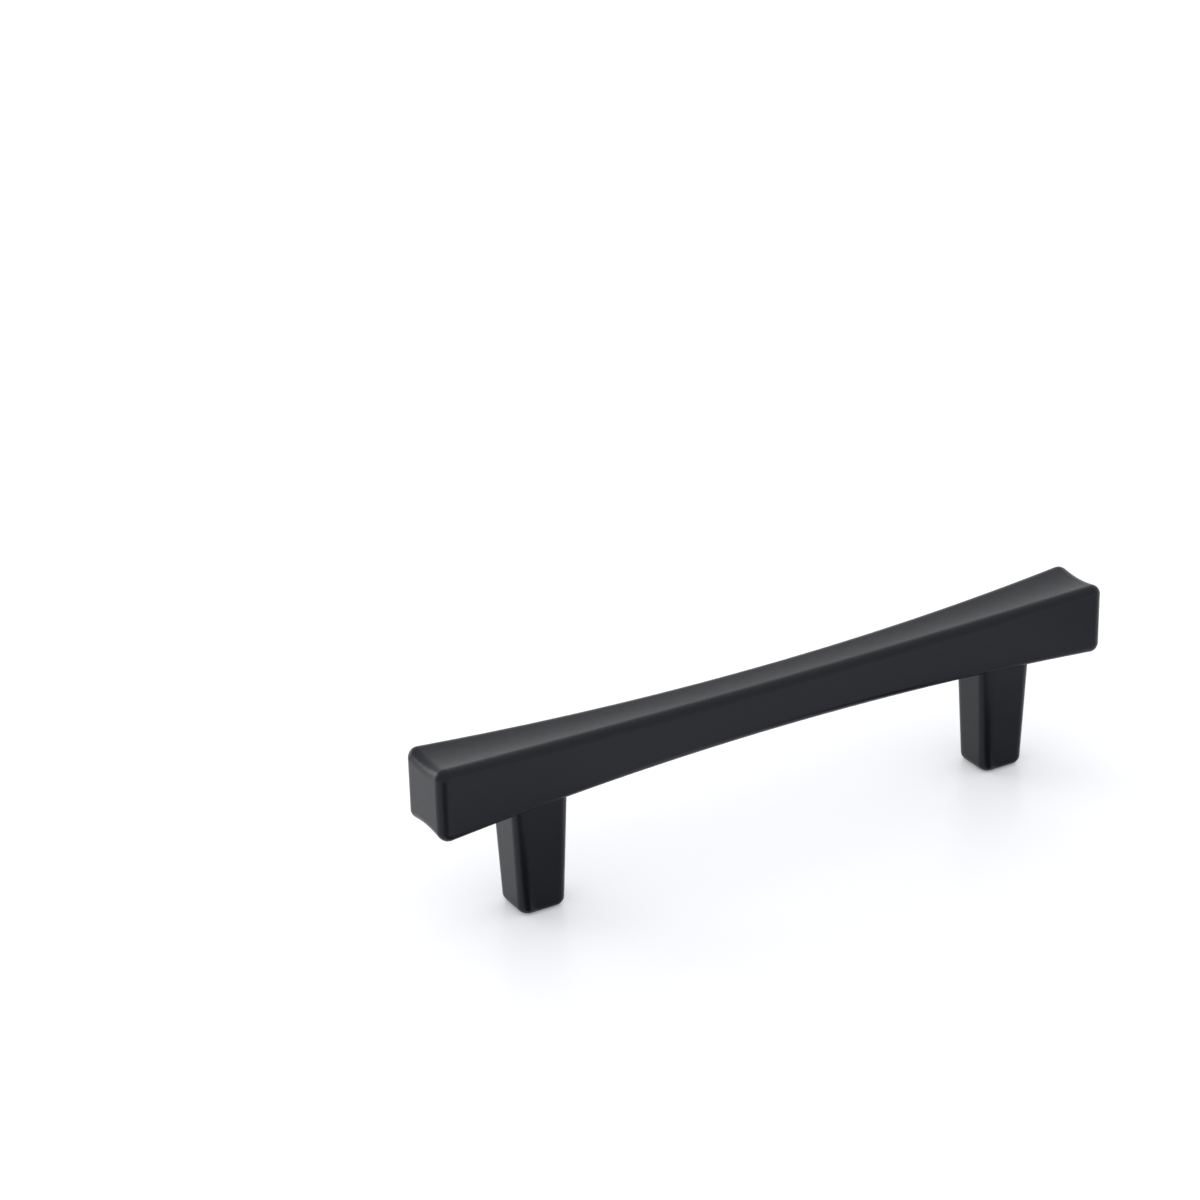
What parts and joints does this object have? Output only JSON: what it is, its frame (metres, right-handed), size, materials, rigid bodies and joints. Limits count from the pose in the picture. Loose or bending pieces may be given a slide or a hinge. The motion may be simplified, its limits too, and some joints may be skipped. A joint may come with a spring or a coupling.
{
  "type": "cabinet pull",
  "caption": "Cast cabinet pull: a square bar hollowed to a slim waist on two tapered posts, with tapped holes in the feet for screws from inside the door.",
  "frame": {"origin": "on the mounting face, midway between the two screw holes", "axes": "+X along the bar, +Y through it from front to back, +Z away from the cabinet's face"},
  "size_m": [0.136, 0.0126, 0.0326],
  "materials": {
    "matte_black_coat": "matte black powder coat on a zinc alloy casting"
  },
  "bodies": {
    "root": {"pull_body": "matte_black_coat"}
  },
  "joints": []
}
